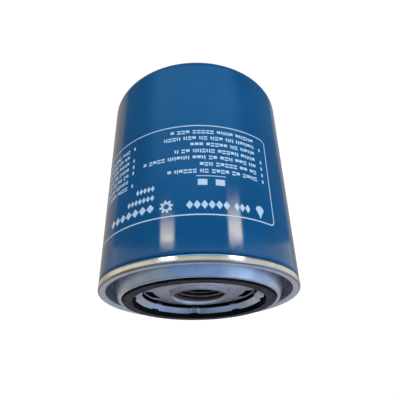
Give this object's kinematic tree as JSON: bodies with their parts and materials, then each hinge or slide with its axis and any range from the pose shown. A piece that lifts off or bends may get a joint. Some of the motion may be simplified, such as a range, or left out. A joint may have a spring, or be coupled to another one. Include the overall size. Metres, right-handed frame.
{
  "type": "oil filter",
  "caption": "Spin-on engine oil filter: drawn steel can closed by a threaded base plate, with a rubber gasket, pleated element and two valves.",
  "frame": {"origin": "centre of the gasket's sealing face, on the axis of the mounting thread", "axes": "+Z along the thread's axis, out of the gasket end and towards the engine; the lid's crimps and the inlet slots set the turn about Z"},
  "size_m": [0.0782, 0.0782, 0.0935],
  "materials": {
    "can_paint": "high-gloss blue enamel over a drawn steel can",
    "lid_zinc": "bright zinc-plated pressed steel",
    "plate_steel": "plain pressed steel with a thin oil film",
    "gasket_rubber": "moulded nitrile rubber, satin, lightly oiled",
    "valve_rubber": "soft moulded rubber, satin",
    "seam_compound": "cured sealing compound",
    "pressed_steel": "tin-plated pressed steel",
    "tube_steel": "bright tin-plated steel",
    "spring_steel": "oil-tempered spring steel",
    "paper_media": "resin-impregnated pleated filter paper",
    "potting": "cured plastisol adhesive"
  },
  "bodies": {
    "root": {"can": "can_paint", "base_plate": "plate_steel", "seaming_lid": "lid_zinc", "seam_sealant": "seam_compound", "gasket": "gasket_rubber", "anti_drainback_collar": "valve_rubber", "top_end_cap": "pressed_steel", "bottom_end_cap": "pressed_steel", "centre_tube": "tube_steel", "filter_media": "paper_media", "media_seam_clip": "tube_steel", "top_potting": "potting", "bottom_potting": "potting", "bypass_cage": "pressed_steel", "bypass_spring": "spring_steel", "bypass_spring_seat": "tube_steel", "load_spring": "spring_steel"},
    "bypass_valve": {"bypass_poppet": "pressed_steel", "bypass_seal": "valve_rubber"},
    "drainback_skirt": {"anti_drainback_flap": "valve_rubber"}
  },
  "joints": [
    {"name": "bypass_opening", "type": "slide", "parent": "root", "child": "bypass_valve", "axis": [0, 0, 1], "range_m": [0, 0.003], "stiffness_N_per_m": 2500, "springref_m": -0.0062, "deforming": ["bypass_spring"]},
    {"name": "drainback_opening", "type": "slide", "parent": "root", "child": "drainback_skirt", "axis": [0, 0, -1], "range_m": [0, 0.0015], "stiffness_N_per_m": 400, "springref_m": -0.001}
  ]
}
